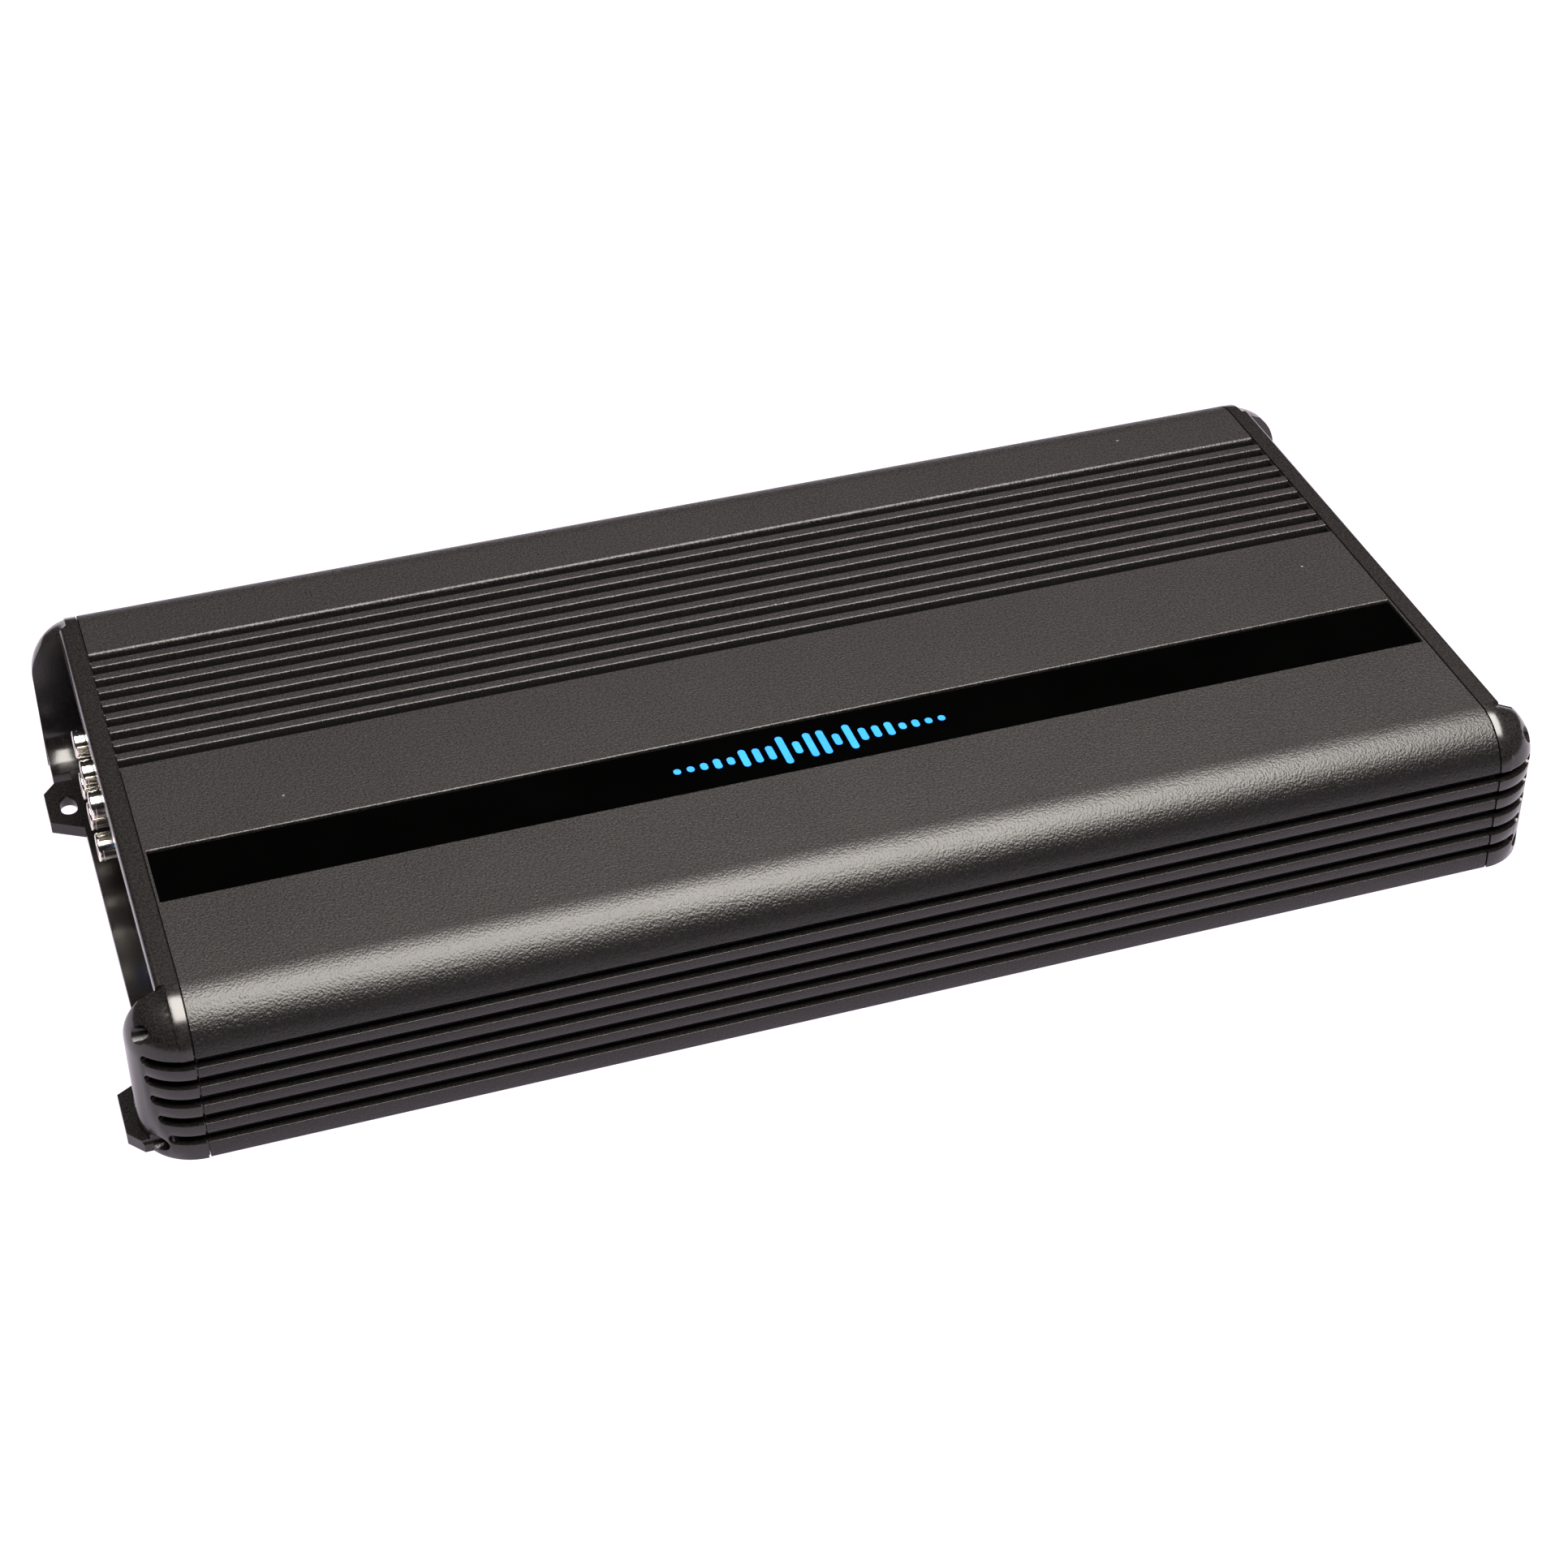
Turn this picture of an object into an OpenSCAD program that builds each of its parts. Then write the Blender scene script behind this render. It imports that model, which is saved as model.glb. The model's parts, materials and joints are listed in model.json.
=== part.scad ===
// Four-channel car amplifier: a finned heatsink case with cast end caps, lit display strip,
// control end (left, -X) and power and speaker end (right, +X).
// Millimetres. The origin is the centre of the underside: +X along the case, +Y to the back, +Z up.

/* [Case] */
// Length of the extruded heatsink
case_l = 370; // [360:1:380]
// Depth of the case, front to back
case_w = 199; // [198:0.5:202]
// Height of the case
case_h = 47.5; // [47:0.5:50]
// Radius of the rounded long edges and corners
edge_r = 15.5; // [14.5:0.5:15.5]

/* [Fins] */
// Number of grooves on the top
top_grooves = 9; // [1:1:9]
// Spacing of the top grooves
top_pitch = 6.64; // [6:0.02:6.8]
// Width of a top groove
top_groove_w = 3.4; // [2:0.1:4]
// Number of grooves on each long side
side_grooves = 5; // [1:1:5]
// Spacing of the side grooves
side_pitch = 6.45; // [6:0.05:6.5]
// Height of a side groove
side_groove_h = 3.2; // [2:0.1:3.6]
// Depth of every groove
groove_d = 3; // [1:0.1:3]

/* [Display strip] */
// Depth of the strip, front to back
strip_w = 22.3; // [16:0.1:24]
// How far the strip lies below the top
strip_drop = 1; // [0.5:0.1:1.5]
// Number of lit level bars
bars = 21; // [5:2:21]

/* [End caps] */
// How far the corner blocks stand out from the heatsink
cap_out = 16; // [16:0.5:18]
// How far the hood over the panel stands out
hood_out = 6.2; // [5:0.1:6.5]
// How far the bottom shelf stands out
shelf_out = 10.4; // [8:0.1:10.5]
// How far the mounting tabs stand out
tab_out = 19.6; // [19:0.1:21]
// Width of a mounting slot
slot_w = 4.8; // [4:0.1:5]
// End-to-end length of a mounting slot
slot_l = 9.3; // [7:0.1:9.5]

/* [Controls] */
// Width of a control knob
knob_d = 8.4; // [7:0.1:10]
// Spacing of the control knobs
knob_pitch = 14; // [13:0.5:14]

/* [Hidden] */
$fn = 64;

// Case
half_l = case_l / 2;
half_w = case_w / 2;
wall_in = half_w - 7;           // inner face of the side walls
foot_in = half_w - 12.75;       // inner face of the ledges under the main board
foot_h = 7;
ceiling = case_h - 7.5;
plate_t = 1.5;
plate_half_w = half_w - 7;
seam_w = 0.4;                   // shadow gap between the heatsink and a cap
seam_d = 1;

// Grooves
first_groove_y = half_w - 32.1; // back edge of the rearmost top groove
side_top = 34.2;                // top of the uppermost side groove
ball_r = side_groove_h / 2;

// Display strip
strip_y = -39.45;
strip_t = 2.2;
strip_end = 0.8;                // wall left at each end of the strip
bar_pitch = 3.9;
bar_w = 2.1;
window_l = bars * bar_pitch + 4;
window_w = 17;

// End caps
block_w = 16.5;
panel_t = 3;
hood_bottom = 41.5;
shelf_t = 3.7;
panel_half_w = half_w - 14.25;
panel_low = 2.5;
panel_high = 43;
flare_r = 10;
slot_x = half_l + 13.4;
wide_tab_y = -56.8;             // slot of the tab near the flared block
narrow_tab_y = 77;              // slot of the tab beside the plain block
wide_tab = [-57, 7.1];          // centre and half width of its outer edge
narrow_tab = [79.85, 7.65];
band_w = 3.8;                   // part of a corner block that is level with the heatsink
step_w = 1.2;                   // bevel from that band down to the sloping top
step_drop = 1.3;
block_slope = 25;
block_round = 4.5;              // rounding of a corner block's outer edge
cap_screws = [[half_w - 8.7, 38.9], [half_w - 5.5, 4.2]];
screw_r = 1.5;

// Boards
board_z = foot_h;
board_t = 1.6;
board_top = board_z + board_t;
board_half_l = half_l - 7;

// Input end, as distances to the left of the origin
panel_in = half_l;
panel_face = half_l + panel_t;
rca_y = [16, 31, 46];
rca_z = [17.5, 32.5];
rca_tip = half_l + 9.4;
rca_r = 4.15;
preamp_x = half_l - 6.5;
knob_y = [for (k = [0:4]) -72 + k * knob_pitch];
knob_z = 30;
knob_face = panel_face + 1.8;
spindle_r = 1.55;
switch_y = [-66, -44, -22];
switch_z = 15;
switch_travel = 2;
port_y = 0;
port_z = 15.5;
led_y = 0;
led_z = [26, 33];

// Output end
terminal_out = half_l + 13.4;
screw_x = half_l + 9.3;
power_y = [-69, -53, -37];
power_bore = [4, 1.6, 4];
power_z = 17;
power_top = 30;
speaker_y = [for (k = [0:7]) 22 + 7.62 * k];
speaker_bore = 2.3;
speaker_bores = [for (y = speaker_y) speaker_bore];
speaker_z = 14;
speaker_top = 24;
fuse_y = [-8, 4];
fuse_z = 23;
fuse_in = half_l + 2;
fuse_out = half_l + 14;

// Inside
transformer_at = [72, 20];
transistor_x = [for (k = [0:7]) -112 + 32 * k];
capacitor_r = 8;
rail_capacitor_r = 9;

function bar_height(k) =
    let (u = abs(k - (bars - 1) / 2) / ((bars - 1) / 2))
    2.4 + 11.6 * (0.5 + 0.5 * cos(180 * u)) * (0.62 + 0.38 * cos(k * 137));

// Sweeps a (y, z) outline along X
module along_x(length)
    rotate([90, 0, 90]) linear_extrude(length, center = true) children();

// Stands a shape on the face of an end, pointing +X, at (x, y, z)
module facing_out(x, y, z)
    translate([x, y, z]) rotate([0, 90, 0]) children();

module box(x, y, z)
    translate([x[0], y[0], z[0]]) cube([x[1] - x[0], y[1] - y[0], z[1] - z[0]]);

module mirrored_y() {
    children();
    mirror([0, 1, 0]) children();
}

// The output end is drawn at +X and the input end is the same turned half a turn
module to_input_end()
    rotate([0, 0, 180]) children();

// Draws input-end parts, laid out with X as the distance out to the left
module at_left()
    mirror([1, 0, 0]) children();

module case_outline(inset = 0) {
    r = edge_r - inset;
    half = half_w - inset;
    translate([-half, 0]) square([2 * half, case_h - edge_r]);
    translate([r - half, 0]) square([2 * (half - r), case_h - inset]);
    for (side = [-1, 1])
        translate([side * (half - r), case_h - edge_r]) circle(r, $fn = 96);
}

module top_groove_cuts()
    for (k = [0:top_grooves - 1])
        translate([first_groove_y - k * top_pitch - top_groove_w, case_h - groove_d])
            square([top_groove_w, groove_d + 1]);

module side_groove_cuts()
    for (side = [-1, 1], k = [0:side_grooves - 1])
        translate([side * half_w - groove_d, side_top - k * side_pitch - side_groove_h])
            square([2 * groove_d, side_groove_h]);

module cavity_outline()
    difference() {
        translate([-wall_in, -1]) square([2 * wall_in, ceiling + 1]);
        for (side = [-1, 1]) {
            translate([side * (wall_in + foot_in) / 2, foot_h / 2 - 1])
                square([wall_in - foot_in, foot_h + 2], center = true);
            translate([side * cap_screws[0][0], cap_screws[0][1]]) circle(screw_r + 2.5);
        }
    }

module heatsink_outline()
    difference() {
        case_outline();
        cavity_outline();
        top_groove_cuts();
        side_groove_cuts();
        translate([-plate_half_w, -1]) square([2 * plate_half_w, plate_t + 1]);
        for (side = [-1, 1], place = cap_screws)
            translate([side * place[0], place[1]]) circle(screw_r);
    }

module heatsink()
    color("#423e3e")
        difference() {
            along_x(case_l) heatsink_outline();
            box([-half_l + strip_end, half_l - strip_end],
                [strip_y - strip_w / 2, strip_y + strip_w / 2],
                [case_h - strip_drop - strip_t, case_h + 1]);
            box([-window_l / 2, window_l / 2],
                [strip_y - window_w / 2, strip_y + window_w / 2], [ceiling - 1, case_h]);
            plate_screw_places() cylinder(h = foot_h - 1, r = screw_r - 0.2);
            board_screw_places() translate([0, 0, foot_h - 4.5]) cylinder(h = 5, r = screw_r - 0.2);
            clamp_screw_places() translate([0, 0, -1]) cylinder(h = 6, r = screw_r - 0.2);
        }

module bottom_plate()
    color("#2b2b2d")
        difference() {
            box([-half_l, half_l], [-plate_half_w, plate_half_w], [0, plate_t]);
            plate_screw_places() {
                translate([0, 0, -1]) cylinder(h = 4, r = screw_r + 0.1);
                translate([0, 0, -0.01]) cylinder(h = 1.01, r1 = 2.9, r2 = screw_r + 0.1);
            }
            standoff_places() translate([0, 0, -1]) cylinder(h = 4, r = screw_r);
        }

module plate_screw_places()
    for (x = [-150, -50, 50, 150], side = [-1, 1])
        translate([x, side * (foot_in + 2.5), 0]) children();

module board_screw_places()
    for (x = [-165, -96, -32, 32, 96, 165], side = [-1, 1])
        translate([x, side * (foot_in + 3), 0]) children();

module standoff_places()
    for (x = [-100, 0, 100])
        translate([x, 0, 0]) children();

// Side view of a corner block, from the seam out: a level band, a small step down, a slope and
// a round outer edge
module block_profile() {
    round_x = cap_out - block_round;
    step_x = band_w + step_w;
    step_z = case_h - step_drop;
    slope_z = step_z - (round_x - step_x) * tan(block_slope);
    round_z = slope_z - block_round / cos(block_slope);
    polygon([
        [0, 0], [cap_out, 0], [cap_out, round_z],
        [round_x + block_round * sin(block_slope), round_z + block_round * cos(block_slope)],
        [step_x, step_z], [band_w, case_h], [0, case_h]
    ]);
    translate([round_x, round_z]) circle(block_round, $fn = 64);
}

// The section that turns round a corner block's axis: its side view, kept inside the case's rounding
module corner_profile()
    intersection() {
        translate([edge_r - cap_out, 0]) block_profile();
        union() {
            square([edge_r, case_h - edge_r]);
            translate([0, case_h - edge_r]) circle(edge_r, $fn = 96);
        }
        square([edge_r + 1, case_h + 1]);
    }

// Plan of the level band beside the seam, on the +Y side
module band_plan() {
    inner = cap_out - edge_r;
    translate([0, half_w - block_w]) square([band_w, block_w - edge_r]);
    translate([0, half_w - edge_r]) square([inner, edge_r]);
    translate([inner, half_w - edge_r])
        intersection() {
            circle(edge_r, $fn = 96);
            square([band_w - inner, edge_r]);
        }
}

// One corner block on the +Y side, from the seam at x = 0
module corner_block() {
    intersection() {
        linear_extrude(case_h) band_plan();
        rotate([90, 0, 90]) linear_extrude(cap_out + 1) case_outline();
    }
    translate([cap_out - edge_r, half_w - edge_r, 0]) {
        rotate_extrude(angle = 90, $fn = 96) corner_profile();
        rotate([90, 0, 0]) linear_extrude(block_w - edge_r) corner_profile();
    }
}

// How far round the corner a side groove runs, in degrees
function groove_reach(k) = 49 - 1.16 * k * k;

// The side grooves where they wrap round the +Y corner block and stop in a round end
module corner_grooves() {
    lead = 6;
    floor_r = edge_r - groove_d;
    for (k = [0:side_grooves - 1])
        translate([cap_out - edge_r, half_w - edge_r, side_top - k * side_pitch - ball_r])
            rotate([0, 0, 90 - groove_reach(k)]) {
                rotate_extrude(angle = groove_reach(k) + lead, $fn = 96)
                    translate([floor_r, -ball_r]) square([groove_d + 2, side_groove_h]);
                translate([floor_r - 0.02, 0, 0])
                    rotate([0, 90, 0]) cylinder(h = groove_d + 1, r = ball_r + 0.03, $fn = 24);
            }
}

// One mounting tab, with its outer edge centred on y = 0 and its block on the +Y side
module tab_outline(half)
    polygon([
        [shelf_out - 2, -half - 5.4], [shelf_out, -half - 5.4], [tab_out, -half],
        [tab_out, half], [cap_out - 0.2, half + 4.7], [shelf_out - 2, half + 4.7]
    ]);

module slot_cut()
    for (side = [-1, 1])
        translate([0, side * (slot_l - slot_w) / 2, -1]) cylinder(h = shelf_t + 2, r = slot_w / 2);

// The casting at the +X end. The input end carries the same casting turned half a turn.
module end_cap()
    difference() {
        translate([half_l, 0, 0])
            difference() {
                union() {
                    mirrored_y() corner_block();
                    rotate([90, 0, 0]) linear_extrude(2 * half_w - 2 * block_w + 1, center = true)
                        hood_outline();
                    box([0, shelf_out], [block_w - half_w - 1, half_w - block_w + 1], [0, shelf_t]);
                    flare();
                    translate([0, wide_tab[0], 0])
                        mirror([0, 1, 0]) linear_extrude(shelf_t) tab_outline(wide_tab[1]);
                    translate([0, narrow_tab[0], 0]) linear_extrude(shelf_t) tab_outline(narrow_tab[1]);
                }
                mirrored_y() corner_grooves();
                box([-1, panel_t], [-panel_half_w, panel_half_w], [panel_low, panel_high]);
                box([-1, panel_t + 1], [-half_w + block_w, half_w - block_w], [shelf_t, hood_bottom]);
                seam_relief();
                for (side = [-1, 1], place = cap_screws) {
                    facing_out(-1, side * place[0], place[1]) cylinder(h = 20, r = screw_r + 0.1);
                    facing_out(7, side * place[0], place[1]) cylinder(h = 20, r = 2.5);
                }
            }
        translate([slot_x, wide_tab_y, 0]) slot_body();
        translate([slot_x, narrow_tab_y, 0]) slot_body();
    }

module slot_body() {
    slot_cut();
    translate([-slot_w / 2, -(slot_l - slot_w) / 2, -1]) cube([slot_w, slot_l - slot_w, shelf_t + 2]);
}

module hood_outline() {
    lip_r = 1.5;
    square_from([0, hood_bottom], [hood_out - lip_r, case_h]);
    square_from([0, hood_bottom], [hood_out, case_h - lip_r]);
    translate([hood_out - lip_r, case_h - lip_r]) circle(lip_r, $fn = 32);
}

module square_from(low, high)
    translate(low) square(high - low);

// Concave fillet from the inner face of the -Y corner block down to the shelf
module flare()
    difference() {
        box([0, cap_out - 0.2], [block_w - half_w - 1, block_w - half_w + flare_r], [0, shelf_t + flare_r]);
        translate([-1, block_w - half_w + flare_r, shelf_t + flare_r])
            rotate([0, 90, 0]) cylinder(h = cap_out + 2, r = flare_r, $fn = 64);
    }

// Shadow gap round the seam: the skin starts a little away from the heatsink
module seam_relief()
    translate([-0.01, 0, 0])
        rotate([90, 0, 90]) linear_extrude(seam_w)
            difference() {
                translate([-case_w, -1]) square([2 * case_w, case_h + 2]);
                case_outline(seam_d);
            }

module right_end_cap()
    color("#2e2c2d") end_cap();

module left_end_cap()
    color("#2e2c2d") to_input_end() end_cap();

// A cross-recessed pan head standing on z = 0 with its shank below
module pan_screw(head_r, head_h, shank_r, shank_l)
    difference() {
        union() {
            cylinder(h = head_h * 0.6, r = head_r);
            translate([0, 0, head_h * 0.6])
                rotate_extrude()
                    intersection() {
                        translate([0, -head_r * 1.4]) circle(head_r * 1.4 + head_h * 0.4);
                        square([head_r, head_h * 0.4]);
                    }
            translate([0, 0, -shank_l]) cylinder(h = shank_l, r = shank_r);
        }
        cross_recess(head_r * 1.1, head_h);
    }

module cross_recess(span, top)
    for (turn = [0, 90])
        rotate([0, 0, turn])
            translate([0, 0, top]) cube([span, span * 0.26, top * 1.1], center = true);

module end_cap_screws()
    color("#1c1c1e")
        for (end = [0, 180])
            rotate([0, 0, end])
                for (side = [-1, 1], place = cap_screws)
                    facing_out(half_l + 7, side * place[0], place[1])
                        pan_screw(2.3, 2, screw_r - 0.05, 20);

module bottom_screws()
    color("#1c1c1e")
        plate_screw_places()
            mirror([0, 0, 1])
                translate([0, 0, -1.02])
                    difference() {
                        union() {
                            cylinder(h = 1, r1 = screw_r - 0.25, r2 = 2.7);
                            translate([0, 0, -4]) cylinder(h = 4, r = screw_r - 0.25);
                        }
                        cross_recess(2.6, 1);
                    }

module strip_span()
    box([-half_l + strip_end, half_l - strip_end],
        [strip_y - strip_w / 2, strip_y + strip_w / 2],
        [case_h - strip_drop - strip_t, case_h - strip_drop]);

module level_bars(low, high, grow = 0)
    for (k = [0:bars - 1]) {
        x = (k - (bars - 1) / 2) * bar_pitch;
        tall = bar_height(k) + 2 * grow;
        translate([x, strip_y, low]) bar(bar_w + 2 * grow, tall, high - low);
    }

// An upright bar with round ends, lying along Y
module bar(width, length, height)
    linear_extrude(height) {
        square([width, max(length - width, 0.2)], center = true);
        for (side = [-1, 1])
            translate([0, side * max(length - width, 0.2) / 2]) circle(d = width, $fn = 24);
    }

module display_strip()
    color("#050506")
        difference() {
            strip_span();
            level_bars(ceiling, case_h);
        }

module light_guide()
    color("#1e96ff") {
        base_top = case_h - strip_drop - strip_t;
        box([1 - window_l / 2, window_l / 2 - 1],
            [strip_y + 1 - window_w / 2, strip_y + window_w / 2 - 1], [ceiling, base_top]);
        level_bars(base_top - 0.5, case_h - strip_drop);
    }

module light_board()
    color("#1d5a34")
        difference() {
            box([-window_l / 2 - 6, window_l / 2 + 6],
                [strip_y - window_w / 2 - 1, strip_y + window_w / 2 + 1], [ceiling - 2.6, ceiling - 1.6]);
            for (side = [-1, 1])
                translate([side * (window_l / 2 + 3), strip_y, ceiling - 3]) cylinder(h = 2, r = 1.1);
        }

module light_leds()
    color("#f3f1d8")
        for (k = [0:6])
            translate([(k - 3) * 12, strip_y, ceiling - 0.9]) cube([3.5, 2.8, 1.4], center = true);

module main_board()
    color("#16402a")
        difference() {
            box([-board_half_l, board_half_l], [1 - wall_in, wall_in - 1], [board_z, board_top]);
            board_screw_places() translate([0, 0, board_z - 1]) cylinder(h = 4, r = screw_r + 0.1);
            standoff_places() translate([0, 0, board_z - 1]) cylinder(h = 4, r = screw_r + 0.1);
        }

module board_screws()
    color("#b9bcc0") {
        board_screw_places() translate([0, 0, board_top]) pan_screw(2.6, 2, screw_r - 0.25, 5);
        standoff_places() translate([0, 0, board_top]) pan_screw(2.6, 2, screw_r - 0.25, 4);
    }

module board_standoffs()
    color("#c8a24a")
        standoff_places()
            difference() {
                union() {
                    translate([0, 0, plate_t]) cylinder(h = board_z - plate_t, r = 3, $fn = 6);
                    cylinder(h = plate_t, r = screw_r - 0.05);
                }
                translate([0, 0, plate_t + 0.5]) cylinder(h = 10, r = screw_r - 0.2);
            }

// ---- Input end ----

module input_panel()
    color("#0c0c0e")
        at_left()
            difference() {
                panel_plate();
                for (y = rca_y, z = rca_z)
                    facing_out(panel_in - 1, y, z) cylinder(h = panel_t + 2, r = 5.6);
                for (y = knob_y)
                    facing_out(panel_in - 1, y, knob_z) cylinder(h = panel_t + 2, r = 3.3);
                for (y = switch_y)
                    box([panel_in - 1, panel_face + 1], [y - 4.3, y + 4.3], [switch_z - 1.9, switch_z + 1.9]);
                box([panel_in - 1, panel_face + 1], [port_y - 5.6, port_y + 5.6], [port_z - 4.2, port_z + 4.2]);
                for (z = led_z)
                    facing_out(panel_in - 1, led_y, z) cylinder(h = panel_t + 2, r = 1.6);
            }

module panel_plate()
    box([panel_in, panel_face], [0.1 - panel_half_w, panel_half_w - 0.1], [panel_low + 0.1, panel_high - 0.1]);

module rca_housing()
    color("#151517")
        at_left() {
            difference() {
                box([half_l - 18.5, half_l - 0.1], [rca_y[0] - 7.4, rca_y[2] + 7.4], [board_top, 39.4]);
                rca_places() translate([0, 0, -8]) cylinder(h = 20, r = rca_r - 0.6);
            }
            rca_places()
                difference() {
                    cylinder(h = panel_t + 0.1, r = 5.3);
                    translate([0, 0, -1]) cylinder(h = 20, r = rca_r - 0.6);
                }
        }

// Frames at each jack, +Z pointing out, z = 0 just inside the panel
module rca_places()
    for (y = rca_y, z = rca_z)
        facing_out(half_l - 0.1, y, z) children();

// Turned barrel: flange at the panel, waisted band, then a plain barrel with a round lip
module rca_shells()
    color("#c9c9c6")
        at_left()
            rca_places() {
                barrel_l = rca_tip - half_l + 0.1;
                base = panel_t + 0.1;
                rotate_extrude()
                    difference() {
                        union() {
                            square_from([0, base], [5.3, base + 1]);
                            square_from([0, -7], [rca_r - 0.65, base]);
                            square_from([0, base + 1], [rca_r - 0.45, base + 2.2]);
                            square_from([0, base + 2.2], [rca_r, barrel_l - 0.5]);
                            square_from([0, barrel_l - 0.6], [rca_r - 0.5, barrel_l]);
                            translate([rca_r - 0.5, barrel_l - 0.5]) circle(0.5, $fn = 24);
                        }
                        square_from([-1, -8], [rca_r - 1.15, barrel_l + 1]);
                    }
            }

module rca_insulators()
    color("#e8e6df")
        at_left()
            rca_places()
                difference() {
                    union() {
                        translate([0, 0, -6]) cylinder(h = 8, r = rca_r - 1.15);
                        translate([0, 0, 1.9]) cylinder(h = 5.1, r = 2.5);
                    }
                    translate([0, 0, -7]) cylinder(h = 20, r = 1.95);
                }

module rca_contacts()
    color("#d8b45a")
        at_left()
            rca_places()
                difference() {
                    translate([0, 0, -7]) cylinder(h = 13.5, r = 1.95);
                    translate([0, 0, -5]) cylinder(h = 14, r = 1.6);
                }

module preamp_board()
    color("#16402a")
        at_left()
            translate([preamp_x - 1.6, 0, 0])
                rotate([90, 0, 90]) linear_extrude(1.6)
                    difference() {
                        polygon([[-80, 12], [-9, 12], [-9, 23], [6, 23], [6, 38.5], [-80, 38.5]]);
                        for (place = [[-77, 20], [3, 36]])
                            translate(place) circle(1.2);
                    }

module preamp_connector()
    color("#1a1a1c")
        at_left()
            difference() {
                box([preamp_x - 8, preamp_x - 1.6], [-60, -26], [board_top, 16.5]);
                for (k = [0:11])
                    box([preamp_x - 6, preamp_x - 3.6], [-58.6 + 2.54 * k, -57.4 + 2.54 * k], [14, 17]);
            }

module potentiometers()
    color("#2f5fa8")
        at_left()
            for (y = knob_y)
                difference() {
                    box([preamp_x, half_l - 0.1], [y - 4.75, y + 4.75], [knob_z - 5.5, knob_z + 5.5]);
                    facing_out(preamp_x + 2, y, knob_z) cylinder(h = 10, r = spindle_r + 0.05);
                }

// A knob on its spindle: slotted face, with a flute at the pointer
module knob(y)
    at_left()
        facing_out(preamp_x + 2.2, y, knob_z) {
            spindle_l = half_l + 0.2 - preamp_x - 2.2;
            top = knob_face - preamp_x - 2.2;
            cylinder(h = spindle_l + 0.1, r = spindle_r);
            difference() {
                union() {
                    translate([0, 0, spindle_l]) cylinder(h = top - spindle_l - 1, r = 3);
                    translate([0, 0, top - 1.6]) cylinder(h = 1.2, r = knob_d / 2);
                    translate([0, 0, top - 0.41]) cylinder(h = 0.41, r1 = knob_d / 2, r2 = knob_d / 2 - 0.4);
                }
                translate([0, 0, top]) cube([knob_d * 0.62, 1, 1.4], center = true);
                translate([-knob_d / 2, 0, top]) cylinder(h = 2, r = 0.6, center = true);
            }
        }

module front_level_knob()
    color("#3a3a3d") knob(knob_y[0]);

module rear_level_knob()
    color("#3a3a3d") knob(knob_y[1]);

module front_crossover_knob()
    color("#3a3a3d") knob(knob_y[2]);

module rear_crossover_knob()
    color("#3a3a3d") knob(knob_y[3]);

module bass_boost_knob()
    color("#3a3a3d") knob(knob_y[4]);

module switch_bodies()
    color("#8f9296")
        at_left()
            for (y = switch_y)
                difference() {
                    box([preamp_x, half_l - 0.1], [y - 6.5, y + 6.5], [switch_z - 3, switch_z + 3]);
                    box([preamp_x + 2, half_l + 1], [y - 3.9, y + 3.9], [switch_z - 1.75, switch_z + 1.75]);
                }

// A ribbed switch actuator at rest at y
module slider(y)
    at_left()
        difference() {
            box([preamp_x + 2.1, panel_face + 1], [y - 1.7, y + 1.7], [switch_z - 1.5, switch_z + 1.5]);
            for (k = [-1, 0, 1])
                box([panel_face + 0.6, panel_face + 2], [y + k - 0.2, y + k + 0.2], [switch_z - 2, switch_z + 2]);
        }

module front_filter_slider()
    color("#e9e9e6") slider(switch_y[0]);

module rear_filter_slider()
    color("#e9e9e6") slider(switch_y[1]);

module input_mode_slider()
    color("#e9e9e6") slider(switch_y[2] - switch_travel);

module remote_port()
    color("#202022")
        at_left()
            difference() {
                box([half_l - 13, panel_face - 0.4], [port_y - 5.5, port_y + 5.5], [port_z - 4.1, port_z + 4.1]);
                box([half_l - 10, panel_face + 1], [port_y - 4.4, port_y + 4.4], [port_z - 3, port_z + 3]);
                box([half_l - 10, panel_face + 1], [port_y - 1.6, port_y + 1.6], [port_z - 3.8, port_z]);
            }

module remote_port_contacts()
    color("#d8b45a")
        at_left()
            for (k = [0:3]) {
                y = port_y - 1.5 + k - 0.2;
                box([half_l - 10, half_l - 3], [y, y + 0.4], [port_z + 2.2, port_z + 3]);
            }

// A round lens standing just proud of the panel
module status_lens(z)
    at_left()
        facing_out(preamp_x, led_y, z) {
            stem = panel_face - preamp_x;
            cylinder(h = stem, r = 1.5);
            translate([0, 0, stem])
                rotate_extrude()
                    intersection() {
                        circle(1.5, $fn = 32);
                        square(2);
                    }
        }

module power_led()
    color("#2a8cff") status_lens(led_z[0]);

module protect_led()
    color("#d8262a") status_lens(led_z[1]);

// ---- Output end ----

module output_panel()
    color("#0c0c0e")
        difference() {
            panel_plate();
            box([panel_in - 1, panel_face + 1], [power_y[0] - 8.7, power_y[2] + 8.7], [6, power_top + 0.2]);
            box([panel_in - 1, panel_face + 1], [speaker_y[0] - 4.5, speaker_y[7] + 4.5], [6, speaker_top + 0.2]);
            box([panel_in - 1, panel_face + 1], [fuse_y[0] - 6.2, fuse_y[1] + 6.2], [8, 37.2]);
        }

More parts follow.
